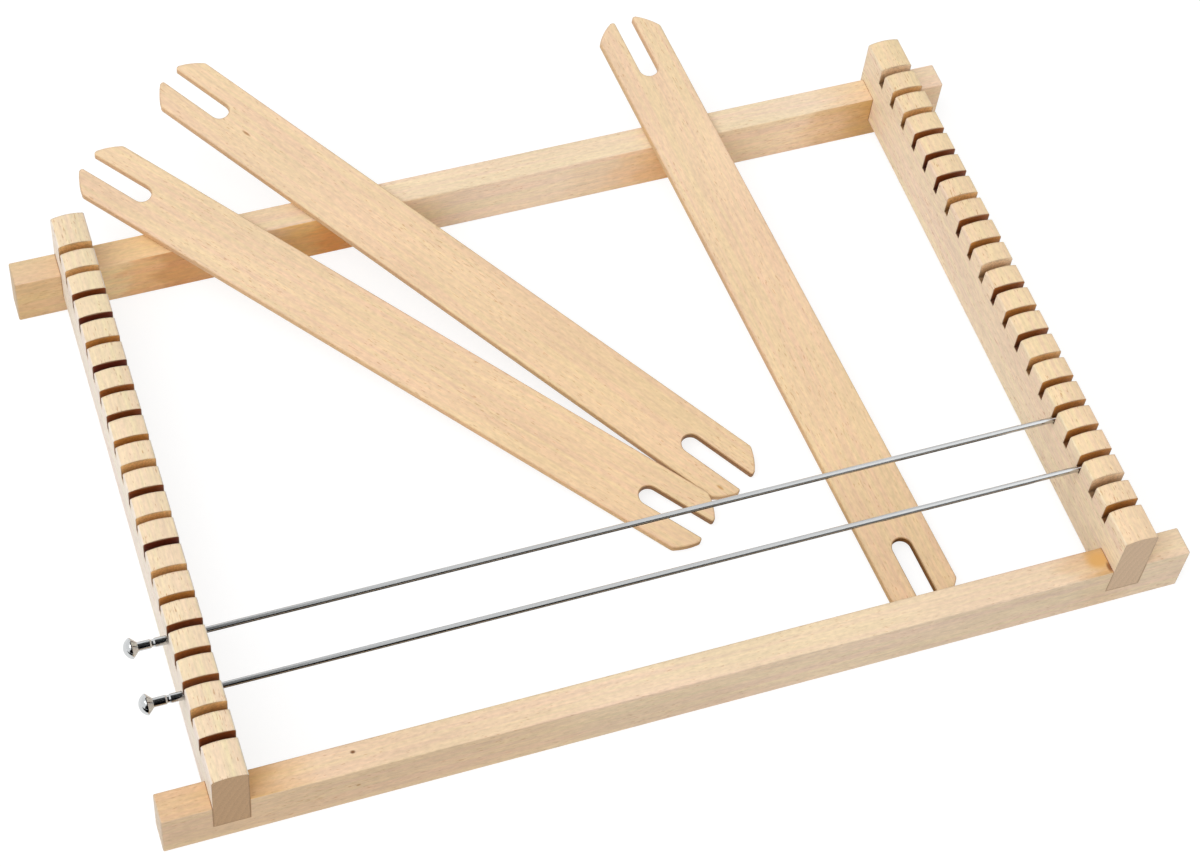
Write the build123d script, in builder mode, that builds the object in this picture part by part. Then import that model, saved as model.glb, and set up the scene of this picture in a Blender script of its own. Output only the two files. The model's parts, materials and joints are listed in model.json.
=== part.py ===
"""Small wooden frame loom with two notched bars, two edge rods and three shuttles.

The origin is the centre of the front crossbar's underside. +X runs along the crossbars
to the right, +Y runs along the notched bars to the rear and +Z is up. The underside of
both crossbars stands on the plane Z = 0.
"""

import os
from math import asin, atan2, cos, degrees, radians, sin, tan

from build123d import *

# ---------------------------------------------------------------------------
# Driving dimensions, in millimetres and degrees
# ---------------------------------------------------------------------------

# Crossbars: plain planed strips that carry the notched bars and reach past them
CROSSBAR_OVERHANG = 16.0
CROSSBAR_WIDTH = 10.0
CROSSBAR_HEIGHT = 20.0
CROSSBAR_EDGE_RADIUS = 0.5
CROSSBAR_END_CHAMFER = 0.3
HOUSING_DEPTH = 11.7

# Notched bars: tall strips, crowned across the top and sawn to a comb
BAR_SPACING = 298.5
BAR_LENGTH = 218.0
BAR_REAR_OVERHANG = 1.5
BAR_WIDTH = 11.5
BAR_HEIGHT = 29.5
BAR_CROWN = 1.0
BAR_EDGE_CHAMFER = 0.4

# Saw slots, numbered from the rear; the saw gang overlaps by one slot at each pass,
# and a slot that it meets twice comes out wider
SLOT_COUNT = 20
SLOT_PITCH = 10.0
SLOT_WIDTH = 2.5
SLOT_DEPTH = 8.0
TWICE_SAWN_WIDTH = 3.0
SAW_GANG_STEP = 9

# Edge rods: steel wires that lie in a pair of slots, each with a crimped head
ROD_DIAMETER = 2.0
ROD_END_INSET = 0.5
ROD_END_CHAMFER = 0.3
REAR_ROD_SLOT = 16
FRONT_ROD_SLOT = 18
SLEEVE_DIAMETER = 3.0
SLEEVE_LENGTH = 9.2
SLEEVE_EDGE_CHAMFER = 0.2
CRIMP_WIDTH = 1.6
CRIMP_DEPTH = 0.3
HEAD_DIAMETER = 6.8
HEAD_CONE_ANGLE = 90.0
HEAD_RIM = 0.3
HEAD_DOME = 2.3

# Shuttles: flat blades with a notch in each end for the yarn; each tine ends in a short
# flat beside the notch and a bowed bevel that runs back to the blade's edge
SHUTTLE_LENGTH = 249.0
SHUTTLE_WIDTH = 24.0
SHUTTLE_THICKNESS = 3.0
SHUTTLE_EDGE_CHAMFER = 0.3
NOTCH_WIDTH = 7.0
NOTCH_DEPTH = 26.0
BEVEL_LENGTH = 6.5
BEVEL_BOW = 0.5
TINE_FLAT = 1.5
TINE_RADIUS = 0.8
SHOULDER_RADIUS = 2.0

# How each shuttle lies, with its lower end on the table: where its centre line crosses the
# rear crossbar's front edge, how far its lower end stands behind the front crossbar, and how
# far it is turned to the left; the middle shuttle lies against the left one
LEFT_SHUTTLE_X = -101.0
LEFT_SHUTTLE_FOOT = 46.8
LEFT_SHUTTLE_TURN = 41.1
MIDDLE_SHUTTLE_FOOT = 61.2
MIDDLE_SHUTTLE_TURN = 36.2
RIGHT_SHUTTLE_X = 70.0
RIGHT_SHUTTLE_FOOT = 2.2
RIGHT_SHUTTLE_TURN = 5.5

# Clearances
REST_GAP = 0.3
ROD_GAP = 0.15
BORE_GAP = 0.05

# ---------------------------------------------------------------------------
# Places that follow from the driving dimensions
# ---------------------------------------------------------------------------

CROSSBAR_LENGTH = BAR_SPACING + BAR_WIDTH + 2 * CROSSBAR_OVERHANG
CROSSBAR_SPACING = BAR_LENGTH - CROSSBAR_WIDTH - BAR_REAR_OVERHANG
FRONT_FACE_Y = -CROSSBAR_WIDTH / 2
BAR_BOTTOM_Z = CROSSBAR_HEIGHT - HOUSING_DEPTH
SLOT_FLOOR_Z = BAR_BOTTOM_Z + BAR_HEIGHT - SLOT_DEPTH
SLOT_MARGIN = (BAR_LENGTH - (SLOT_COUNT - 1) * SLOT_PITCH) / 2
BAR_OUTER_X = (BAR_SPACING + BAR_WIDTH) / 2
ROD_AXIS_Z = SLOT_FLOOR_Z + ROD_GAP + ROD_DIAMETER / 2
LEAN_EDGE_Y = CROSSBAR_SPACING - CROSSBAR_WIDTH / 2
LEAN_EDGE_Z = CROSSBAR_HEIGHT + REST_GAP


def slot_y(number):
    """Centre of a slot, counted from the rear of the bar."""
    return FRONT_FACE_Y + BAR_LENGTH - SLOT_MARGIN - (number - 1) * SLOT_PITCH


def slot_width(number):
    """A slot where two passes of the saw gang meet is wider than the others."""
    if number % SAW_GANG_STEP == 1:
        return TWICE_SAWN_WIDTH
    return SLOT_WIDTH


# ---------------------------------------------------------------------------
# Frame
# ---------------------------------------------------------------------------


def crossbar(centre_y):
    """Plain bar with rounded long edges, broken end edges and a housing for each notched bar."""
    with BuildPart(Plane.XY.offset(CROSSBAR_HEIGHT / 2)) as bar:
        with Locations((0, centre_y)):
            Box(CROSSBAR_LENGTH, CROSSBAR_WIDTH, CROSSBAR_HEIGHT)
        fillet(bar.edges().filter_by(Axis.X), radius=CROSSBAR_EDGE_RADIUS)
        ends = bar.faces().filter_by(Axis.X)
        chamfer(ends.edges(), length=CROSSBAR_END_CHAMFER)
        with BuildSketch(Plane.XZ.offset(-centre_y)):
            with Locations((-BAR_SPACING / 2, BAR_BOTTOM_Z), (BAR_SPACING / 2, BAR_BOTTOM_Z)):
                Rectangle(BAR_WIDTH, CROSSBAR_HEIGHT, align=(Align.CENTER, Align.MIN))
        extrude(amount=CROSSBAR_WIDTH, both=True, mode=Mode.SUBTRACT)
    return bar


def notched_bar(centre_x):
    """Crowned bar, flush with the front crossbar's front face, with its row of slots."""
    half_width = BAR_WIDTH / 2
    with BuildPart() as bar:
        with BuildSketch(Plane.XZ.offset(-FRONT_FACE_Y)) as section:
            with BuildLine():
                top_z = BAR_BOTTOM_Z + BAR_HEIGHT
                edge_z = top_z - BAR_CROWN
                base = Polyline(
                    (centre_x - half_width, edge_z),
                    (centre_x - half_width, BAR_BOTTOM_Z),
                    (centre_x + half_width, BAR_BOTTOM_Z),
                    (centre_x + half_width, edge_z),
                )
                ThreePointArc(base @ 1, (centre_x, top_z), base @ 0)
            make_face()
            chamfer(section.vertices().group_by(Axis.Y)[-1], length=BAR_EDGE_CHAMFER)
        extrude(amount=-BAR_LENGTH)
        with BuildSketch(Plane.YZ.offset(centre_x)):
            for number in range(1, SLOT_COUNT + 1):
                with Locations((slot_y(number), SLOT_FLOOR_Z)):
                    Rectangle(slot_width(number), 2 * SLOT_DEPTH, align=(Align.CENTER, Align.MIN))
        extrude(amount=BAR_WIDTH, both=True, mode=Mode.SUBTRACT)
    return bar


front_crossbar = crossbar(0)
rear_crossbar = crossbar(CROSSBAR_SPACING)
left_notched_bar = notched_bar(-BAR_SPACING / 2)
right_notched_bar = notched_bar(BAR_SPACING / 2)

# ---------------------------------------------------------------------------
# Edge rods
# ---------------------------------------------------------------------------

SLEEVE_INNER_X = -BAR_OUTER_X - REST_GAP
SLEEVE_OUTER_X = SLEEVE_INNER_X - SLEEVE_LENGTH


def rod_wire(number):
    """Straight wire from the bottom of the sleeve's bore to just inside the right bar."""
    left_x = SLEEVE_OUTER_X + BORE_GAP
    right_x = BAR_OUTER_X - ROD_END_INSET
    with BuildPart() as wire:
        with BuildSketch(Plane.YZ.offset(left_x)):
            with Locations((slot_y(number), ROD_AXIS_Z)):
                Circle(ROD_DIAMETER / 2)
        extrude(amount=right_x - left_x)
        chamfer(wire.edges().sort_by(Axis.X)[-1], length=ROD_END_CHAMFER)
    return wire


def rod_head(number):
    """Sleeve with a rolled crimp at its middle and a domed, countersunk head."""
    axis_point = (0, slot_y(number), ROD_AXIS_Z)
    half_section = Plane(origin=axis_point, x_dir=(1, 0, 0), z_dir=(0, -1, 0))
    sleeve_r = SLEEVE_DIAMETER / 2
    head_r = HEAD_DIAMETER / 2
    bore_r = ROD_DIAMETER / 2 + BORE_GAP
    crimp_x = (SLEEVE_INNER_X + SLEEVE_OUTER_X) / 2
    cone_depth = (head_r - sleeve_r) / tan(radians(HEAD_CONE_ANGLE / 2))
    rim_x = SLEEVE_OUTER_X - cone_depth
    dome_x = rim_x - HEAD_RIM
    dome_radius = (head_r**2 + HEAD_DOME**2) / (2 * HEAD_DOME)
    dome_centre_x = dome_x - HEAD_DOME + dome_radius
    dome_mid_angle = asin(head_r / dome_radius) / 2
    dome_mid = (dome_centre_x - dome_radius * cos(dome_mid_angle), dome_radius * sin(dome_mid_angle))
    with BuildPart() as head:
        with BuildSketch(half_section):
            with BuildLine():
                outside = Polyline(
                    (SLEEVE_OUTER_X, 0),
                    (SLEEVE_OUTER_X, bore_r),
                    (SLEEVE_INNER_X, bore_r),
                    (SLEEVE_INNER_X, sleeve_r - SLEEVE_EDGE_CHAMFER),
                    (SLEEVE_INNER_X - SLEEVE_EDGE_CHAMFER, sleeve_r),
                    (crimp_x + CRIMP_WIDTH / 2, sleeve_r),
                    (crimp_x + CRIMP_DEPTH, sleeve_r - CRIMP_DEPTH),
                    (crimp_x - CRIMP_DEPTH, sleeve_r - CRIMP_DEPTH),
                    (crimp_x - CRIMP_WIDTH / 2, sleeve_r),
                    (SLEEVE_OUTER_X, sleeve_r),
                    (rim_x, head_r),
                    (dome_x, head_r),
                )
                dome = ThreePointArc(outside @ 1, dome_mid, (dome_x - HEAD_DOME, 0))
                Line(dome @ 1, outside @ 0)
            make_face()
        revolve(axis=Axis(axis_point, (1, 0, 0)))
    return head


rear_rod_wire = rod_wire(REAR_ROD_SLOT)
front_rod_wire = rod_wire(FRONT_ROD_SLOT)
rear_rod_head = rod_head(REAR_ROD_SLOT)
front_rod_head = rod_head(FRONT_ROD_SLOT)

# ---------------------------------------------------------------------------
# Shuttles
# ---------------------------------------------------------------------------


def leaning_plane(crossing_x, turn, tilt):
    """Underside of a shuttle that leans on the rear crossbar's front edge.

    The plane's y runs up the shuttle's centre line, tilt is its rise about the X axis
    and turn is the angle from that rise to the centre line, to the left.
    """
    swing, rise = radians(turn), radians(tilt)
    return Plane(
        origin=(crossing_x, LEAN_EDGE_Y, LEAN_EDGE_Z),
        x_dir=(cos(swing), sin(swing) * cos(rise), sin(swing) * sin(rise)),
        z_dir=(0, -sin(rise), cos(rise)),
    )


def run_to_foot(foot):
    """Level distance from the rear crossbar's edge to a shuttle's lower end."""
    return LEAN_EDGE_Y - CROSSBAR_WIDTH / 2 - foot


def tilt_to_table(foot):
    """Rise of a shuttle whose lower end comes down to the table."""
    return degrees(atan2(CROSSBAR_HEIGHT, run_to_foot(foot)))


def length_below_edge(foot, turn):
    """Length of a shuttle's lower part, from its tips up to the rear crossbar's edge."""
    swing = radians(turn)
    slope_run = run_to_foot(foot) / cos(radians(tilt_to_table(foot)))
    tip_drop = (NOTCH_WIDTH / 2 + TINE_FLAT) * sin(swing)
    shoulder_drop = SHUTTLE_WIDTH / 2 * sin(swing) - BEVEL_LENGTH * cos(swing)
    return (slope_run - BEVEL_BOW - max(tip_drop, shoulder_drop)) / cos(swing)


def crossing_beside_left_shuttle():
    """Place of the middle shuttle, whose lower shoulder lies against the left one's edge."""
    left_swing, swing = radians(LEFT_SHUTTLE_TURN), radians(MIDDLE_SHUTTLE_TURN)
    half_width = SHUTTLE_WIDTH / 2
    # Level run from the rear crossbar's edge to the shoulder, which both shuttles share
    shoulder_down = length_below_edge(MIDDLE_SHUTTLE_FOOT, MIDDLE_SHUTTLE_TURN) - BEVEL_LENGTH
    slope_run = shoulder_down * cos(swing) + half_width * sin(swing)
    level_run = slope_run * cos(radians(tilt_to_table(MIDDLE_SHUTTLE_FOOT)))
    left_run = level_run / cos(radians(tilt_to_table(LEFT_SHUTTLE_FOOT)))
    left_edge_x = LEFT_SHUTTLE_X + half_width / cos(left_swing) + left_run * tan(left_swing)
    shoulder_x = left_edge_x + REST_GAP / cos(left_swing)
    return shoulder_x + half_width * cos(swing) - shoulder_down * sin(swing)


def shuttle(crossing_x, foot, turn):
    """Blade with two tines and a round-bottomed notch at each end."""
    reach = SHUTTLE_LENGTH - length_below_edge(foot, turn)
    centre_y = reach - SHUTTLE_LENGTH / 2
    notch_radius = NOTCH_WIDTH / 2
    half_width = SHUTTLE_WIDTH / 2
    with BuildPart() as blade:
        with BuildSketch(leaning_plane(crossing_x, turn, tilt_to_table(foot))) as outline:
            with BuildLine():
                bottom = CenterArc((0, reach - NOTCH_DEPTH + notch_radius), notch_radius, -90, 90)
                wall = Line(bottom @ 1, (notch_radius, reach))
                flat = Line(wall @ 1, (notch_radius + TINE_FLAT, reach))
                bevel = SagittaArc(flat @ 1, (half_width, reach - BEVEL_LENGTH), BEVEL_BOW)
                Line(bevel @ 1, (half_width, centre_y))
                mirror(about=Plane.YZ)
                mirror(about=Plane.XZ.offset(-centre_y))
            make_face()
            corners = outline.vertices().group_by(Axis.Y)
            fillet(corners[1] + corners[-2], radius=SHOULDER_RADIUS)
            corners = outline.vertices().group_by(Axis.Y)
            fillet(corners[0] + corners[-1], radius=TINE_RADIUS)
        extrude(amount=SHUTTLE_THICKNESS)
        broad_faces = blade.faces().sort_by(SortBy.AREA)[-2:]
        chamfer(broad_faces.edges(), length=SHUTTLE_EDGE_CHAMFER)
    return blade


MIDDLE_SHUTTLE_X = crossing_beside_left_shuttle()

left_shuttle = shuttle(LEFT_SHUTTLE_X, LEFT_SHUTTLE_FOOT, LEFT_SHUTTLE_TURN)
middle_shuttle = shuttle(MIDDLE_SHUTTLE_X, MIDDLE_SHUTTLE_FOOT, MIDDLE_SHUTTLE_TURN)
right_shuttle = shuttle(RIGHT_SHUTTLE_X, RIGHT_SHUTTLE_FOOT, RIGHT_SHUTTLE_TURN)

# ---------------------------------------------------------------------------
# One STEP file for each piece
# ---------------------------------------------------------------------------

PIECES = {
    "front_crossbar": front_crossbar,
    "rear_crossbar": rear_crossbar,
    "left_notched_bar": left_notched_bar,
    "right_notched_bar": right_notched_bar,
    "rear_rod_wire": rear_rod_wire,
    "front_rod_wire": front_rod_wire,
    "rear_rod_head": rear_rod_head,
    "front_rod_head": front_rod_head,
    "left_shuttle": left_shuttle,
    "middle_shuttle": middle_shuttle,
    "right_shuttle": right_shuttle,
}

os.makedirs("parts", exist_ok=True)
for label, piece in PIECES.items():
    piece.part.label = label
    export_step(piece.part, f"parts/{label}.step")
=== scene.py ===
# %% [markdown]
# # A small frame loom
#
# Two plain crossbars stand on the table. Two taller bars are let into them and sawn to a
# comb, and the warp is wound round their teeth. Two thin steel rods lie in the comb and
# three flat wooden shuttles rest on the frame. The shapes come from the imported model, so
# this lesson is mostly about wood and metal: how grain, saw marks and zinc are made from
# nodes, at their real size.

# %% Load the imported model
import json

import bpy
from mathutils import Matrix, Vector


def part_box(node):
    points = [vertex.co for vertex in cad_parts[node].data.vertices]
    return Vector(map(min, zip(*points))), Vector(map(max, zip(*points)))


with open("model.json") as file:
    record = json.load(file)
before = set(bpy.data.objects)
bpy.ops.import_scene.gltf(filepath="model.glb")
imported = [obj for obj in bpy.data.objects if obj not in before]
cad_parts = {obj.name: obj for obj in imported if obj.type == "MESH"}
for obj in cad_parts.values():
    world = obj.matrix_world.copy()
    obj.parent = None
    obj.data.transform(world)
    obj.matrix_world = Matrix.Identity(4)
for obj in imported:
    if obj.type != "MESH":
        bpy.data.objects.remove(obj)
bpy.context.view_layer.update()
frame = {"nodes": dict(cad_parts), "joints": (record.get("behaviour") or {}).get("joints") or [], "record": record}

# %% [markdown]
# ## Three small helpers
#
# Blender works in linear light, but colours are easier to write as the hex values of a
# paint card, so one function turns them round. A second makes a material with an empty
# tree. A third adds one node with its settings and its links, so that a whole finish reads
# like a short recipe. Where it is given a node, it links that node's first output.

# %% Colour and node helpers
MM = 0.001


def linear(hex_colour):
    """Turns a #RRGGBB colour into linear light with an alpha of 1."""
    parts = [int(hex_colour[i : i + 2], 16) / 255 for i in (1, 3, 5)]
    return [c / 12.92 if c <= 0.04045 else ((c + 0.055) / 1.055) ** 2.4 for c in parts] + [1]


def add(tree, kind, inputs=None, **settings):
    """Adds a node, sets its settings, and fills its inputs with values or links."""
    node = tree.nodes.new("ShaderNode" + kind)
    for name, value in settings.items():
        setattr(node, name, value)
    for name, value in (inputs or {}).items():
        if isinstance(value, bpy.types.Node):
            value = value.outputs[0]
        if isinstance(value, bpy.types.NodeSocket):
            tree.links.new(value, node.inputs[name])
        else:
            node.inputs[name].default_value = value
    return node


def new_material(name):
    """Makes a material with an empty node tree and returns both."""
    material = bpy.data.materials.new(name)
    material.use_nodes = True
    material.node_tree.nodes.clear()
    return material, material.node_tree


print("a paint card white in linear light:", linear("#FFFFFF"))

# %% [markdown]
# ## The camera
#
# A long lens from high above the near left corner. The object sits off the middle of the
# view, and a small lens shift moves it there without tilting the upright lines.

# %% Set up the camera
camera_data = bpy.data.cameras.new("view_from_front_left")
camera_data.sensor_width = 36
camera_data.lens = 84.03
camera_data.shift_x = 0.0800
camera_data.shift_y = -0.0794
camera_data.clip_start = 0.01
camera_data.clip_end = 20
camera = bpy.data.objects.new("view_from_front_left", camera_data)
bpy.context.scene.collection.objects.link(camera)

right_way = Vector((0.950855, -0.304937, 0.053752))
down_way = Vector((-0.218969, -0.784952, -0.579571))
into_view = Vector((0.218925, 0.539317, -0.813147))
turn = Matrix((right_way, -down_way, -into_view)).transposed()
camera_place = Vector((-0.224754, -0.372775, 0.787701))
camera.matrix_world = Matrix.Translation(camera_place) @ turn.to_4x4()
bpy.context.scene.camera = camera
print("camera height in mm:", round(camera.location.z * 1000))

# %% [markdown]
# ## Studio light
#
# The wood is pale and matt, so it needs broad light that shows its colour as it is. The
# world gives an even light from all sides. One large soft box, high on the left, gives the
# bars a bright and a quieter side, and a weak one in front keeps their front faces clear.
# To the eye, and to the steel, the world is plain white, as a paper backdrop is.

# %% Light the studio
AMBIENT = 0.56
KEY_POWER = 58.0
FILL_POWER = 11.0
LIT_SPOT = Vector((0, 0.1, 0))


def seen_directly(tree):
    """1 for rays from the eye, from a reflection or through glass, 0 for all other light."""
    ray = add(tree, "LightPath").outputs
    seen = ray["Is Camera Ray"]
    for kind in ("Is Glossy Ray", "Is Transmission Ray"):
        seen = add(tree, "Math", {0: seen, 1: ray[kind]}, operation="MAXIMUM")
    return seen


world = bpy.data.worlds.new("soft_white_room")
bpy.context.scene.world = world
world.use_nodes = True
sky = world.node_tree
sky.nodes.clear()
strength = add(sky, "MapRange", {"Value": seen_directly(sky), "To Min": AMBIENT, "To Max": 1.0})
backdrop = add(sky, "Background", {"Color": (1, 1, 1, 1), "Strength": strength})
add(sky, "OutputWorld", {"Surface": backdrop})


def soft_box(name, place, size, power):
    """A square area lamp that faces the middle of the table."""
    lamp = bpy.data.lights.new(name, "AREA")
    lamp.size = size
    lamp.energy = power
    box = bpy.data.objects.new(name, lamp)
    bpy.context.scene.collection.objects.link(box)
    box.location = place
    box.rotation_euler = (LIT_SPOT - box.location).to_track_quat("-Z", "Y").to_euler()
    print(name, "stands", round(box.location.length * 1000), "mm away")
    return box


soft_box("key_soft_box", (-1.45, -0.35, 2.75), 2.6, KEY_POWER)
fill = soft_box("fill_soft_box", (-0.3, -2.4, 0.75), 1.6, FILL_POWER)
fill.visible_glossy = False

# %% [markdown]
# ## The table
#
# A matt white table, wide enough to fill every view, a hair below the frame's feet. To the
# eye it is a grey paint with a plain white light of its own, which together come to paper
# white and leave a faint shadow of the frame. To the wood, which it lights from below, it
# is white paint alone.

# %% Lay the table
TABLE_SIZE = 8.0
TABLE_GAP = 0.05
TABLE_GLOW = 0.8


def flat_sheet(name, corners):
    """A flat rectangle from its four corners."""
    mesh = bpy.data.meshes.new(name)
    mesh.from_pydata(corners, [], [(0, 1, 2, 3)])
    sheet = bpy.data.objects.new(name, mesh)
    bpy.context.scene.collection.objects.link(sheet)
    return sheet


half = TABLE_SIZE / 2
table_z = -TABLE_GAP * MM
corners = ((-half, -half), (half, -half), (half, half), (-half, half))
floor = flat_sheet("table", [(x, y, table_z) for x, y in corners])
table_white, tree = new_material("matt_white_table")
seen = seen_directly(tree)
tone = add(tree, "MixRGB", {"Fac": seen, "Color1": linear("#F2F2F2"), "Color2": linear("#929292")})
paint = add(tree, "BsdfDiffuse", {"Color": tone, "Roughness": 0.5})
strength = add(tree, "Math", {0: seen, 1: TABLE_GLOW}, operation="MULTIPLY")
glow = add(tree, "Emission", {"Color": (1, 1, 1, 1), "Strength": strength})
add(tree, "OutputMaterial", {"Surface": add(tree, "AddShader", {0: paint, 1: glow})})
floor.data.materials.append(table_white)

# %% [markdown]
# ## Cards for the metal
#
# Bright metal in a white room looks flat, because every side of it mirrors the same
# white. A studio stands dark cards just outside the view, and their reflection draws the
# dark line along a rod. The cards are black at the left and grey to the right, so the line
# fades along the rod, and a card over the heads goes from black to white. A glowing card
# high on the right gives the far ends a bright streak. All are seen only in reflections:
# they throw no shadow and take no light from the wood.

# %% Stand the cards


def card_paint(name, start, end, dark, light):
    """Paint that goes from dark at one place to light at another, from left to right."""
    material, tree = new_material(name)
    place = add(tree, "TexCoord")
    across = add(tree, "SeparateXYZ", {"Vector": place.outputs["Object"]})
    inputs = {"Value": across, "From Min": start, "From Max": end, "To Min": dark, "To Max": light}
    return material, tree, add(tree, "MapRange", inputs)


card_grey, tree, fade = card_paint("black_to_grey_card", 0.1, 0.45, 0.002, 0.42)
add(tree, "OutputMaterial", {"Surface": add(tree, "BsdfDiffuse", {"Color": fade})})
card_fading, tree, fade = card_paint("black_to_white_card", -0.1, 0.0, 0.01, 1.0)
add(tree, "OutputMaterial", {"Surface": add(tree, "Emission", {"Strength": fade})})
card_glow, tree, fade = card_paint("white_to_glowing_card", 0.35, 0.75, 1.0, 1.6)
add(tree, "OutputMaterial", {"Surface": add(tree, "Emission", {"Strength": fade})})

# Each card, in metres: its nearest left corner and its farthest right one
cards = {
    "card_upright": ((-1.6, -0.8, 0.0), (0.9, -0.8, 0.75)),
    "card_above_it": ((-1.6, -0.8, 0.75), (0.12, -0.8, 1.3)),
    "card_lying": ((-0.6, -0.79, 0.0002), (0.4, -0.006, 0.0002)),
    "card_between": ((-0.14, 0.006, 0.0002), (0.14, 0.055, 0.0002)),
    "card_over_heads": ((-0.4, -0.45, 0.45), (0.0, 0.7, 0.75)),
    "card_glowing": ((0.35, -1.5, 1.2), (1.7, 0.6, 1.2)),
}
paints = {"card_over_heads": card_fading, "card_glowing": card_glow}
for name, ((x0, y0, z0), (x1, y1, z1)) in cards.items():
    card = flat_sheet(name, [(x0, y0, z0), (x1, y0, z0), (x1, y1, z1), (x0, y1, z1)])
    card.data.materials.append(paints.get(name, card_grey))
    card.visible_camera = False
    card.visible_diffuse = False
    card.visible_shadow = False
    card.visible_transmission = False

# %% [markdown]
# ## Beech
#
# The frame and the shuttles are beech, planed and sanded and left bare. Beech is pale and
# even. What gives it away is a scatter of short dark dashes along the grain, the ends of
# its rays, on top of fine fibres and faint growth rings. Cut across, it is darker, with
# the rings as arcs.
#
# All of it is worked out in the wood's own space: one axis along the grain, one across
# and one through the piece, in millimetres from the middle of the piece. The pattern is
# taken from a log space, which is the same but moved on for each piece, so that no two
# pieces are cut from the same place.

# %% Wood space: along the grain, across it and through it
LOG_STEP = 731.0


def middle_of(node, ways):
    """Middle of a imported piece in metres, measured along three directions."""
    corners = [vertex.co for vertex in frame["nodes"][node].data.vertices]
    spans = [[corner.dot(way) for corner in corners] for way in ways]
    return Vector([(min(span) + max(span)) / 2 for span in spans])


def wood_space(tree, node, along, through):
    """Coordinates in millimetres from the middle of the piece, with x along the grain."""
    ways = (along, through.cross(along), through)
    place = add(tree, "TexCoord")
    return add(
        tree,
        "Mapping",
        {
            "Vector": place.outputs["Object"],
            "Location": -middle_of(node, ways) / MM,
            "Rotation": Matrix(ways).to_euler(),
            "Scale": [1 / MM] * 3,
        },
    )


def per(length, width):
    """Scale that makes one unit of a pattern this long and this wide, in millimetres."""
    return (1 / length, 1 / width, 1 / width)


def spread(noise, low, high, reach=0.2):
    """Inputs that stretch the middle of a noise, where most of it lies, from low to high."""
    ends = {"From Min": 0.5 - reach, "From Max": 0.5 + reach}
    return {"Value": noise, **ends, "To Min": low, "To Max": high}


def facing(tree, way):
    """1 on faces square to a direction, on either side, and 0 on faces along it."""
    place = add(tree, "TexCoord")
    lean = add(tree, "VectorMath", {0: place.outputs["Normal"], 1: way}, operation="DOT_PRODUCT")
    size = add(tree, "Math", {0: lean.outputs["Value"]}, operation="ABSOLUTE")
    inputs = {"Value": size, "From Min": 0.55, "From Max": 0.85}
    return add(tree, "MapRange", inputs, interpolation_type="SMOOTHSTEP")


print("the pattern moves on", LOG_STEP, "mm from piece to piece")

# %% [markdown]
# ### Growth rings and fibres
#
# The rings are circles round a pith well outside the piece, so they run on from one face
# to the next as they do in a real bar, and come out as arcs on the sawn ends. A saw-tooth
# wave darkens slowly through each year and drops back at once. Fibres are a noise drawn
# out along the grain until it reads as fine streaks.

# %% Rings and fibres
WAVE_REPEAT = 0.314  # the size of one ring of a wave texture whose scale is 1
RING_SPACING = 2.4
FIBRE_LENGTH = 16.0
FIBRE_WIDTH = 0.6


def growth_rings(tree, log, pith):
    """Growth rings, 0 to 1 through each year, round a pith to one side of the piece."""
    moved = add(tree, "Mapping", {"Vector": log, "Location": pith, "Scale": (0.04, 1, 1)})
    inputs = {"Vector": moved, "Scale": WAVE_REPEAT / RING_SPACING}
    inputs |= {"Distortion": 3.0, "Detail": 2.0, "Detail Scale": 0.5}
    return add(tree, "TexWave", inputs, wave_type="RINGS", rings_direction="X", wave_profile="SAW")


def fine_fibres(tree, log):
    """Fine streaks along the grain."""
    space = add(tree, "Mapping", {"Vector": log, "Scale": per(FIBRE_LENGTH, FIBRE_WIDTH)})
    return add(tree, "TexNoise", {"Vector": space, "Scale": 1.0, "Detail": 3.0})


print("growth rings drawn", RING_SPACING, "mm apart")

# %% [markdown]
# ### Ray flecks
#
# Flecks are a fine stretched noise of which only the peaks are kept. The height at which a
# peak starts to count wanders over the piece, so that flecks come singly and in crowds, as
# the rays of a log do. A real fleck is about 0.2 mm wide, too fine to show from here, so it
# is drawn 0.4 mm wide.

# %% Flecks
FLECK_LENGTH = 2.4
FLECK_WIDTH = 0.4
FLECK_RISE = 0.09
CROWD_SIZE = (30, 12)


def ray_flecks(tree, log):
    """Short dashes along the grain, in crowds and singly."""
    space = add(tree, "Mapping", {"Vector": log, "Scale": per(*CROWD_SIZE)})
    crowd = add(tree, "TexNoise", {"Vector": space, "Scale": 1.0, "Detail": 1.0})
    start = add(tree, "MapRange", spread(crowd, 0.70, 0.61))
    space = add(tree, "Mapping", {"Vector": log, "Scale": per(FLECK_LENGTH, FLECK_WIDTH)})
    dashes = add(tree, "TexNoise", {"Vector": space, "Scale": 1.0, "Detail": 1.0})
    peaks = add(tree, "Math", {0: dashes, 1: start}, operation="SUBTRACT")
    inputs = {"Value": peaks, "From Max": FLECK_RISE}
    return add(tree, "MapRange", inputs, interpolation_type="SMOOTHSTEP")


print("a fleck is drawn", FLECK_LENGTH, "by", FLECK_WIDTH, "mm")

# %% [markdown]
# ### Figure: the shades over the plain wood
#
# Five shades are laid over the plain colour by multiplying, which darkens wood without
# greying it. Streaks as long as a hand drift between yellow and pink, and a slow drift
# lightens and darkens a whole stretch of a board. Rings, fibres and a fine mottle do the
# rest.

# %% The figure of beech
HUE_STREAK = (70, 2.2)
DRIFT_SIZE = (60, 14)
MOTTLE_SIZE = (2.2, 0.9)


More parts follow.
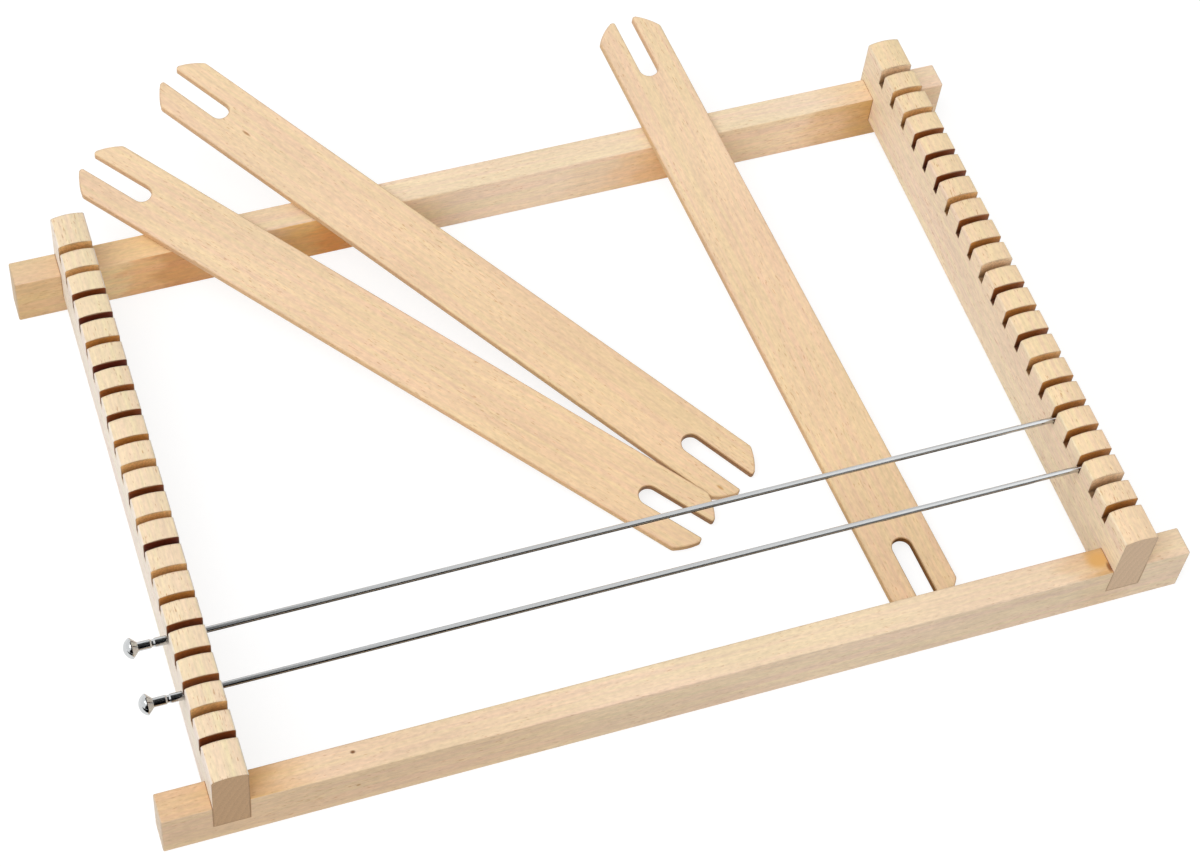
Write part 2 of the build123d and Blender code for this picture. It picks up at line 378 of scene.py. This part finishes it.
def figure_shades(tree, log, rings, fibres):
    """The shades that make up the figure, each close to white."""
    space = add(tree, "Mapping", {"Vector": log, "Scale": per(*HUE_STREAK)})
    streaks = add(tree, "TexNoise", {"Vector": space, "Scale": 1.0, "Detail": 2.0})
    share = add(tree, "MapRange", spread(streaks, 0.0, 1.0, reach=0.15))
    yellow, pink = linear("#FFFCEE"), linear("#FFF4F0")
    hues = add(tree, "MixRGB", {"Fac": share, "Color1": yellow, "Color2": pink})
    space = add(tree, "Mapping", {"Vector": log, "Scale": per(*DRIFT_SIZE)})
    drift = add(tree, "TexNoise", {"Vector": space, "Scale": 1.0, "Detail": 2.0})
    stretches = add(tree, "MapRange", spread(drift, 0.96, 1.03, reach=0.15))
    years = add(tree, "MapRange", {"Value": rings, "To Min": 1.0, "To Max": 0.965})
    threads = add(tree, "MapRange", spread(fibres, 0.94, 1.04))
    space = add(tree, "Mapping", {"Vector": log, "Scale": per(*MOTTLE_SIZE)})
    specks = add(tree, "TexNoise", {"Vector": space, "Scale": 1.0, "Detail": 2.0})
    mottle = add(tree, "MapRange", spread(specks, 0.92, 1.06))
    return hues, stretches, years, threads, mottle


# %% [markdown]
# ### Stains, painted shade and small marks
#
# Bare wood takes stains, and some of these tones are painted shade. Round a joint the wood
# is warmer, partly from glue size and partly as painted warm shade in the inner corners,
# and on the rear crossbar the shade that the shuttles cast is painted in. The crossbars are
# also browner towards the left end. The tones are given as pairs of a place along the piece
# and the tone laid over the wood there, one list for the top and one for the sides, and a
# slow noise lets their borders wander. A pin knot is a small oval that darkens the wood
# round one point.

# %% Stains and marks
CLEAR = "#FFFFFF"
SWAY = 10
WAVE_SIZE = (12, 5)


def stain_and_shade_band(tree, space, log, stains_and_shade):
    """The tone of stains and painted shade along a piece, from pairs of a place in mm and a tone."""
    reach = max(abs(place) for place, _ in stains_and_shade)
    wave_space = add(tree, "Mapping", {"Vector": log, "Scale": per(*WAVE_SIZE)})
    wave = add(tree, "TexNoise", {"Vector": wave_space, "Scale": 1.0, "Detail": 3.0})
    sway = add(tree, "MapRange", {"Value": wave, "To Min": -SWAY, "To Max": SWAY})
    along = add(tree, "SeparateXYZ", {"Vector": space})
    run = add(tree, "Math", {0: along, 1: sway}, operation="ADD")
    share = add(tree, "MapRange", {"Value": run, "From Min": -reach, "From Max": reach})
    tones = add(tree, "ValToRGB", {"Fac": share})
    band = tones.color_ramp
    band.interpolation = "EASE"
    while len(band.elements) < len(stains_and_shade):
        band.elements.new(0.5)
    for element, (place, tone) in zip(band.elements, sorted(stains_and_shade)):
        element.position = place / reach / 2 + 0.5
        element.color = linear(tone)
    return tones


def small_mark(tree, space, place, length, width):
    """1 at a small oval mark on the surface, fading to 0 round it."""
    shift = (-place[0] / length, -place[1] / width, -place[2] / width)
    away = add(tree, "Mapping", {"Vector": space, "Location": shift, "Scale": per(length, width)})
    distance = add(tree, "VectorMath", {0: away}, operation="LENGTH")
    inputs = {"Value": distance.outputs["Value"], "From Min": 0.3, "To Min": 1.0, "To Max": 0.0}
    return add(tree, "MapRange", inputs, interpolation_type="SMOOTHSTEP")


print("a stain's border wanders", SWAY, "mm to each side")

# %% [markdown]
# ### One recipe for every beech piece
#
# Each piece has a tone for its broad faces, one for its narrow faces and one for the
# sawn ends, because they were cut through the log in three directions. The narrow tones
# also hold painted light: they are set lighter or darker for how the light falls on those
# sides. A planed surface is matt, with a roughness near 0.6, and a little smoother on the
# hard fibres. A Bevel node turns the light round the sharp edges, as a quick pass of
# sandpaper does.

# %% The beech recipe
SANDED_EDGE = 0.9
FIBRE_DEPTH = 0.04
PORE_WIDTH = 0.5
FLECK_TONE = "#D2AC84"


def beech(node, along, through, number, tones, fleck_strength, stains_and_shade=None, marks=()):
    """Planed beech for one piece. Returns the material, its surface node and its space."""
    material, tree = new_material("planed_beech_" + node)
    space = wood_space(tree, node, along, through)
    log = add(tree, "VectorMath", {0: space, 1: (LOG_STEP * (number + 1), 0, 0)}, operation="ADD")
    pith = (0, 55 + 4 * number, 38 - 5 * number)
    rings = growth_rings(tree, log, pith)
    fibres = fine_fibres(tree, log)

    broad = facing(tree, through)
    # The narrow tone is partly the wood and partly painted light for the sides
    broad_tone, narrow_tone = linear(tones["broad"]), linear(tones["narrow"])
    wood = add(tree, "MixRGB", {"Fac": broad, "Color1": narrow_tone, "Color2": broad_tone})
    if stains_and_shade:
        top = stain_and_shade_band(tree, space, log, stains_and_shade["top"])
        sides = stain_and_shade_band(tree, space, log, stains_and_shade["sides"])
        tint = add(tree, "MixRGB", {"Fac": broad, "Color1": sides, "Color2": top})
        inputs = {"Fac": 1.0, "Color1": wood, "Color2": tint}
        wood = add(tree, "MixRGB", inputs, blend_type="MULTIPLY")
    for shade in figure_shades(tree, log, rings, fibres):
        inputs = {"Fac": 1.0, "Color1": wood, "Color2": shade}
        wood = add(tree, "MixRGB", inputs, blend_type="MULTIPLY")

    ends = facing(tree, along)
    inputs = {0: fleck_strength, 1: ends}
    off_ends = add(tree, "Math", inputs, operation="SUBTRACT", use_clamp=True)
    flecks = add(tree, "Math", {0: ray_flecks(tree, log), 1: off_ends}, operation="MULTIPLY")
    inputs = {"Fac": 1.0, "Color1": wood, "Color2": linear(FLECK_TONE)}
    dark = add(tree, "MixRGB", inputs, blend_type="MULTIPLY")
    wood = add(tree, "MixRGB", {"Fac": flecks, "Color1": wood, "Color2": dark})
    for place, length, width, tone in marks:
        mark = small_mark(tree, space, place, length, width)
        wood = add(tree, "MixRGB", {"Fac": mark, "Color1": wood, "Color2": linear(tone)})

    # Sawn across, the rings show as arcs and the pores as fine dots, drawn coarser than
    # real ones so that they show
    pore_space = add(tree, "Mapping", {"Vector": log, "Scale": per(PORE_WIDTH, PORE_WIDTH)})
    pores = add(tree, "TexNoise", {"Vector": pore_space, "Scale": 1.0, "Detail": 2.0})
    dots = add(tree, "MapRange", spread(pores, 0.89, 1.06))
    arcs = add(tree, "MapRange", {"Value": rings, "To Min": 1.0, "To Max": 0.91})
    end_wood = linear(tones["end"])
    for shade in (dots, arcs):
        inputs = {"Fac": 1.0, "Color1": end_wood, "Color2": shade}
        end_wood = add(tree, "MixRGB", inputs, blend_type="MULTIPLY")
    wood = add(tree, "MixRGB", {"Fac": ends, "Color1": wood, "Color2": end_wood})

    # Relief: open fibres and flecks a few hundredths of a millimetre deep, and sanded edges
    height = add(tree, "Math", {0: fibres, 1: flecks}, operation="SUBTRACT")
    edges = add(tree, "Bevel", {"Radius": SANDED_EDGE * MM}, samples=4)
    inputs = {"Height": height, "Strength": 0.35, "Distance": FIBRE_DEPTH * MM, "Normal": edges}
    relief = add(tree, "Bump", inputs)
    dull = add(tree, "MapRange", spread(fibres, 0.52, 0.66))
    inputs = {"Base Color": wood, "Roughness": dull, "IOR": 1.5, "Normal": relief}
    surface = add(tree, "BsdfPrincipled", inputs)
    add(tree, "OutputMaterial", {"Surface": surface})
    return material, surface, space


def dress(node, material):
    """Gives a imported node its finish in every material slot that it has."""
    slots = frame["nodes"][node].material_slots
    for slot in slots:
        slot.material = material
    print(node, "wears", material.name, "in", len(slots), "slot")


def darken(material, surface, share, tone):
    """Multiplies the surface's colour by a tone where the share is 1."""
    tree = material.node_tree
    before = surface.inputs["Base Color"].links[0].from_node
    inputs = {"Fac": share, "Color1": before, "Color2": linear(tone)}
    after = add(tree, "MixRGB", inputs, blend_type="MULTIPLY")
    tree.links.new(after.outputs[0], surface.inputs["Base Color"])


X_WAY, Y_WAY, Z_WAY = Vector((1, 0, 0)), Vector((0, 1, 0)), Vector((0, 0, 1))

# %% [markdown]
# ### Crossbars
#
# The two crossbars are plain strips from different boards. Both are a little browner at
# the left, and warm at the inner corners of their joints, partly from glue and partly as
# painted warm shade. On the rear crossbar's front face, the shade of the shuttles is
# painted in as well. The housing is cut to a close fit, so all that shows of it is a
# hairline of shadow on each side of the notched bar.

# %% Dress the crossbars
HAIRLINE = 0.3
HAIRLINE_TONE = "#B98F62"
CROSSBAR_FLECKS = 0.45

# The rear crossbar's narrow tone is lighter than the front's: painted light on its front face
front_tones = {"broad": "#EED9BE", "narrow": "#E5D3BC", "end": "#DBC6AD"}
rear_tones = {"broad": "#FBE6CB", "narrow": "#F8E4CB", "end": "#CFB491"}
# Tones along the front crossbar: stains, with painted warm shade in the joints' inner corners
front_stains_and_shade = {
    "top": [
        (-171, "#F1E4D3"), (-158, "#EFE2CE"), (-143, "#F1DAAE"), (-131, "#F7ECD7"),
        (-118, "#FAF6F0"), (-60, "#FCFAF6"), (-20, CLEAR), (124, CLEAR), (134, "#F5ECE0"),
        (143, "#E4CFA8"), (154, "#FBF8F4"), (171, CLEAR),
    ],
    "sides": [
        (-171, "#F5ECE0"), (-60, "#F7F0E7"), (-20, "#FCFAF6"), (60, CLEAR), (128, CLEAR),
        (143, "#FAF6F0"), (155, CLEAR), (171, CLEAR),
    ],
}
# Tones along the rear crossbar: on its sides, those from -128 to -28 mm and from 39 to 80 mm paint the shade that
# the shuttles cast on its front face, and those by the joints paint warm shade in their inner corners
rear_stains_and_shade = {
    "top": [
        (-171, "#E7E0D3"), (-152, "#E6DECE"), (-143, "#F5EAD1"), (-125, "#F2E7C8"),
        (-90, "#F0EDE6"), (-40, "#F5F6F5"), (90, "#F5F6F5"), (118, "#F6F9FB"), (142, "#F0ECE1"),
        (154, CLEAR), (171, CLEAR),
    ],
    "sides": [
        (-171, "#DCCEAF"), (-150, "#E7DAC4"), (-138, "#FFF9E0"), (-128, "#F7DCB6"),
        (-117, "#DAB383"), (-100, "#E2C299"), (-86, "#F2E7D7"), (-72, "#F3D79D"),
        (-58, "#EAB46C"), (-46, "#FFF4E4"), (-28, "#FFFCF1"), (-10, CLEAR), (22, CLEAR),
        (39, "#F8F4EE"), (50, "#F9EBD8"), (58, "#F5DFBF"), (67, "#F0D2AA"), (80, "#F5F1E9"),
        (112, "#FAF6F0"), (126, "#EBDCC4"), (142, "#D6BE8B"), (171, "#FAF6F0"),
    ],
}
# The two marks by the right joint, at 140.3 and 142.9 mm, are partly glue and partly painted warm shade in its
# inner corner
front_marks = [
    ((-109.6, 1.7, 10.0), 1.1, 0.8, "#7A4E26"),
    ((-109.6, -5.0, 0.7), 1.0, 0.7, "#B08658"),
    ((140.3, 0.8, 10.0), 5.5, 4.5, "#D6A663"),
    ((142.9, -2.6, 10.0), 1.1, 2.6, "#8F5D33"),
]
bar_low, bar_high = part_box("right_notched_bar")
joint_middle = (bar_low.x + bar_high.x) / 2 / MM
joint_half = (bar_high.x - bar_low.x) / 2 / MM
crossbars = (
    ("front_crossbar", front_tones, front_stains_and_shade, front_marks),
    ("rear_crossbar", rear_tones, rear_stains_and_shade, ()),
)
for number, (node, tones, stains_and_shade, marks) in enumerate(crossbars):
    finish = (tones, CROSSBAR_FLECKS, stains_and_shade, marks)
    material, surface, space = beech(node, X_WAY, Z_WAY, number, *finish)
    tree = material.node_tree
    low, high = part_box(node)
    floor_at = (bar_low.z - (low.z + high.z) / 2) / MM
    axes = add(tree, "SeparateXYZ", {"Vector": space})
    run = add(tree, "Math", {0: axes.outputs["X"]}, operation="ABSOLUTE")
    to_joint = add(tree, "Math", {0: run, 1: joint_middle}, operation="SUBTRACT")
    to_joint = add(tree, "Math", {0: to_joint}, operation="ABSOLUTE")
    to_side = add(tree, "Math", {0: to_joint, 1: joint_half}, operation="SUBTRACT")
    to_floor = add(tree, "Math", {0: floor_at, 1: axes.outputs["Z"]}, operation="SUBTRACT")
    to_edge = add(tree, "Math", {0: to_side, 1: to_floor}, operation="MAXIMUM")
    inputs = {"Value": to_edge, "From Max": HAIRLINE, "To Min": 1.0, "To Max": 0.0}
    hairline = add(tree, "MapRange", inputs)
    darken(material, surface, hairline, HAIRLINE_TONE)
    dress(node, material)

# %% [markdown]
# ### Saw slots
#
# A gang of small saws cut the comb. Beech burns easily, so most slots came out brown to
# nearly black, and a few where the blade was fresh stayed clean. Each slot has a grade
# from 0, clean, to 5, black, read from the rear of the bar, and a stepped colour ramp with
# one step for each slot turns the grades into colours. Towards the bottom of a slot the
# colour is darkened, and deeper down warmed as well: painted shade. Wood space gives the
# slot's place, and the direction of the face tells a sawn wall or floor from the planed
# faces round it. The burn fades out over the top millimetre of every wall, and is left off
# the outermost third of a millimetre at the two sides of the bar as painted light, where
# light comes in at the ends of the slot.

# %% Scorched slots
SLOT_COUNT = 20
SLOT_PITCH = 10.0
SLOT_DEPTH = 8.0
CLEAN_TOP_DEPTH = 1.1
# Painted light: the slot walls are left pale this far in from each side of the bar
LIT_SIDE = 0.35
COMB_MARGIN = 2
FLOOR_SLACK = 0.05
KERF_MARK = 0.8
LEAST_BURN, LEAST_LIGHT = 0.15, 0.25
# Painted shade in the slots: the depths over which it darkens, and the warm tone deep down
SHADE_FROM, SHADE_TO = 2, 7
DEEP_SHADE_TONE = "#F2D6B4"
SCORCH_TONES = ("#FFDFB6", "#F4C380", "#D49345", "#B16828", "#94490E", "#782B03")


def slot_colours(tree, run, grades):
    """A colour for each slot along the bar, from its grade of scorch."""
    span = SLOT_COUNT * SLOT_PITCH
    share = add(tree, "MapRange", {"Value": run, "From Min": span / 2, "From Max": -span / 2})
    tones = add(tree, "ValToRGB", {"Fac": share})
    band = tones.color_ramp
    band.interpolation = "CONSTANT"
    while len(band.elements) < SLOT_COUNT:
        band.elements.new(0.5)
    for number in range(SLOT_COUNT):
        band.elements[number].position = number / SLOT_COUNT
    for element, grade in zip(band.elements, grades):
        element.color = linear(SCORCH_TONES[int(grade)])
    return tones


def sawn_faces(tree, axes, along, through, height):
    """1 on the walls and floors of the saw slots, and 0 on the planed wood."""
    floor_at = height / 2 - SLOT_DEPTH
    away = add(tree, "Math", {0: axes.outputs["X"]}, operation="ABSOLUTE")
    comb_half = SLOT_COUNT * SLOT_PITCH / 2 - COMB_MARGIN
    in_comb = add(tree, "Math", {0: away, 1: comb_half}, operation="LESS_THAN")
    up = axes.outputs["Z"]
    from_floor = add(tree, "Math", {0: up, 1: floor_at - FLOOR_SLACK}, operation="GREATER_THAN")
    at_floor = add(tree, "Math", {0: up, 1: floor_at + FLOOR_SLACK}, operation="LESS_THAN")
    floors = add(tree, "Math", {0: facing(tree, through), 1: at_floor}, operation="MULTIPLY")
    faces = add(tree, "Math", {0: facing(tree, along), 1: floors}, operation="MAXIMUM")
    faces = add(tree, "Math", {0: faces, 1: from_floor}, operation="MULTIPLY")
    return add(tree, "Math", {0: faces, 1: in_comb}, operation="MULTIPLY")


def burn_share_with_lit_sides(tree, axes, height, width):
    """1 inside the slots, falling to LEAST_BURN at the top and at the two sides of the bar; the fall at the sides
    is painted light.
    """
    top = height / 2
    down = {"Value": axes.outputs["Z"], "From Min": top, "From Max": top - CLEAN_TOP_DEPTH}
    from_top = add(tree, "MapRange", down, interpolation_type="SMOOTHSTEP")
    # Painted light: the burn is kept off the outer edges of the walls, where light comes in
    across = add(tree, "Math", {0: axes.outputs["Y"]}, operation="ABSOLUTE")
    inward = {"Value": across, "From Min": width / 2, "From Max": width / 2 - LIT_SIDE}
    from_side = add(tree, "MapRange", inward, interpolation_type="SMOOTHSTEP")
    share = add(tree, "Math", {0: from_top, 1: from_side}, operation="MULTIPLY")
    return add(tree, "MapRange", {"Value": share, "To Min": LEAST_BURN, "To Max": 1.0})


def scorch(material, surface, space, grades, height, width):
    """Paints the walls and floors of the saw slots over the planed wood."""
    tree = material.node_tree
    axes = add(tree, "SeparateXYZ", {"Vector": space})
    burnt = slot_colours(tree, axes, grades)
    up, top = axes.outputs["Z"], height / 2
    # Painted shade: the colour darkens from near the rim towards the slot's floor
    floor_to_rim = {"From Min": top - SLOT_DEPTH, "From Max": top - SHADE_FROM}
    painted_slot_shade = add(tree, "MapRange", {"Value": up, **floor_to_rim, "To Min": LEAST_LIGHT})
    kerf_space = add(tree, "Mapping", {"Vector": space, "Scale": per(KERF_MARK, KERF_MARK)})
    kerf = add(tree, "TexNoise", {"Vector": kerf_space, "Scale": 1.0, "Detail": 3.0})
    marks = add(tree, "MapRange", spread(kerf, 0.75, 1.15))
    for shade in (painted_slot_shade, marks):
        inputs = {"Fac": 1.0, "Color1": burnt, "Color2": shade}
        burnt = add(tree, "MixRGB", inputs, blend_type="MULTIPLY")
    planed = surface.inputs["Base Color"].links[0].from_node
    sawn = sawn_faces(tree, axes, Y_WAY, Z_WAY, height)
    # Painted shade: deeper down the colour is darkened and warmed further
    depth = {"Value": up, "From Min": top - SHADE_FROM, "From Max": top - SHADE_TO}
    deep_shade = add(tree, "MapRange", depth)
    inputs = {"Fac": deep_shade, "Color1": burnt, "Color2": linear(DEEP_SHADE_TONE)}
    burnt = add(tree, "MixRGB", inputs, blend_type="MULTIPLY")
    inside = burn_share_with_lit_sides(tree, axes, height, width)
    share = add(tree, "Math", {0: sawn, 1: inside}, operation="MULTIPLY")
    both = add(tree, "MixRGB", {"Fac": share, "Color1": planed, "Color2": burnt})
    tree.links.new(both.outputs[0], surface.inputs["Base Color"])


print("the comb takes", SLOT_COUNT * SLOT_PITCH, "mm of the bar")

# %% [markdown]
# ### Notched bars
#
# The two bars come from the same batch, but their saws had worn differently, so each has
# its own row of grades.

# %% Dress the notched bars
NOTCHED_BAR_FLECKS = 0.65
LEFT_SCORCH = "11452534214151243314"
RIGHT_SCORCH = "01134413203231222202"
# The left bar's nearly white narrow tone is painted light on its brightly lit outer face
left_tones = {"broad": "#F0DFC1", "narrow": "#F1EAE3", "end": "#C19E79"}
right_tones = {"broad": "#F2DBB8", "narrow": "#F6E5CD", "end": "#D4B798"}
notched_bars = (
    ("left_notched_bar", left_tones, LEFT_SCORCH),
    ("right_notched_bar", right_tones, RIGHT_SCORCH),
)
for number, (node, tones, grades) in enumerate(notched_bars, start=2):
    low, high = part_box(node)
    material, surface, space = beech(node, Y_WAY, Z_WAY, number, tones, NOTCHED_BAR_FLECKS)
    scorch(material, surface, space, grades, (high.z - low.z) / MM, (high.x - low.x) / MM)
    dress(node, material)

# %% [markdown]
# ### Shuttles
#
# The shuttles are thin blades of a warmer beech. Their flecks are plainer, because their
# broad faces show the rays end on. The narrow edges were cut by a shaper; their golden
# brown is partly the wood and partly painted warm light bounced onto them. The wood is a
# shade warmer towards the lower end, and the walls of the lower notch are darker. The
# grain runs along each blade, and the blade lies the way that it slides, so its joint in
# the imported record gives the direction.

# %% Dress the shuttles
bodies = frame["record"]["behaviour"]["bodies"]
slide_ways = {
    node: Vector(joint["axis"]) for joint in frame["joints"] for node in bodies[joint["child"]]
}
NOTCH_HALF = 4.5
NOTCH_TONE = "#B2986A"
SHUTTLE_FLECKS = 0.5
# The golden-brown narrow tone is partly the wood and partly painted warm bounced light
shuttle_tones = {"broad": "#EED5B5", "narrow": "#DBBA92", "end": "#C99E6C"}
warmer_lower_end = [(-124, "#FDF9F2"), (-80, "#FDF9F2"), (0, "#FDFAF7"), (70, CLEAR), (124, CLEAR)]
shuttle_end_tones = {"top": warmer_lower_end, "sides": warmer_lower_end}
dark_flecks = {
    "middle_shuttle": [
        ((88.6, 1.4, 1.5), 2.4, 0.6, "#B5875A"),
        ((-118.7, 7.3, 1.5), 2.0, 0.6, "#C8975C"),
    ]
}


def notch_walls(tree, space, through):
    """1 on the walls of the notch at the lower end of a shuttle."""
    axes = add(tree, "SeparateXYZ", {"Vector": space})
    inside = add(tree, "Math", {0: axes.outputs["Y"], 1: 0.0, 2: NOTCH_HALF}, operation="COMPARE")
    lower = add(tree, "Math", {0: axes.outputs["X"], 1: 0.0}, operation="LESS_THAN")
    both = add(tree, "Math", {0: inside, 1: lower}, operation="MULTIPLY")
    inputs = {0: both, 1: facing(tree, through)}
    return add(tree, "Math", inputs, operation="SUBTRACT", use_clamp=True)


for number, node in enumerate(("left_shuttle", "middle_shuttle", "right_shuttle"), start=4):
    along = slide_ways[node].normalized()
    through = X_WAY.cross(along).normalized()
    marks = dark_flecks.get(node, ())
    finish = (shuttle_tones, SHUTTLE_FLECKS, shuttle_end_tones, marks)
    material, surface, space = beech(node, along, through, number, *finish)
    darken(material, surface, notch_walls(material.node_tree, space, through), NOTCH_TONE)
    dress(node, material)

# %% [markdown]
# ## Zinc on steel
#
# The rods are drawn steel wire with a turned head, plated with zinc. The plating is bright
# and a little grey, and the wire keeps faint lines along its length from the drawing die.
# They are drawn 0.4 mm wide, coarser than real ones, so that they show.

# %% Zinc-plated steel
STREAK_LENGTH = 25.0
STREAK_WIDTH = 0.4
STREAK_DEPTH = 0.01


def zinc_plated_steel(name, tint, dull_low, dull_high):
    """Bright zinc over drawn or turned steel, streaked along the rod."""
    material, tree = new_material(name)
    place = add(tree, "TexCoord")
    streaks = [size / MM for size in per(STREAK_LENGTH, STREAK_WIDTH)]
    space = add(tree, "Mapping", {"Vector": place.outputs["Object"], "Scale": streaks})
    lines = add(tree, "TexNoise", {"Vector": space, "Scale": 1.0, "Detail": 2.0})
    dull = add(tree, "MapRange", spread(lines, dull_low, dull_high))
    shade = add(tree, "MapRange", spread(lines, 0.9, 1.0))
    inputs = {"Fac": 1.0, "Color1": linear(tint), "Color2": shade}
    colour = add(tree, "MixRGB", inputs, blend_type="MULTIPLY")
    inputs = {"Height": lines, "Strength": 0.2, "Distance": STREAK_DEPTH * MM}
    relief = add(tree, "Bump", inputs)
    inputs = {"Base Color": colour, "Metallic": 1.0, "Roughness": dull, "Normal": relief}
    add(tree, "OutputMaterial", {"Surface": add(tree, "BsdfPrincipled", inputs)})
    return material


wire_zinc = zinc_plated_steel("zinc_plated_drawn_wire", "#C8CACB", 0.12, 0.24)
head_zinc = zinc_plated_steel("zinc_plated_turned_head", "#D2D4D5", 0.08, 0.16)
for rod in ("rear_rod", "front_rod"):
    dress(rod + "_wire", wire_zinc)
    dress(rod + "_head", head_zinc)

# %% [markdown]
# ## The view transform
#
# Colours are shown through the Standard view transform.

# %% Set the view transform
bpy.context.scene.view_settings.view_transform = "Standard"
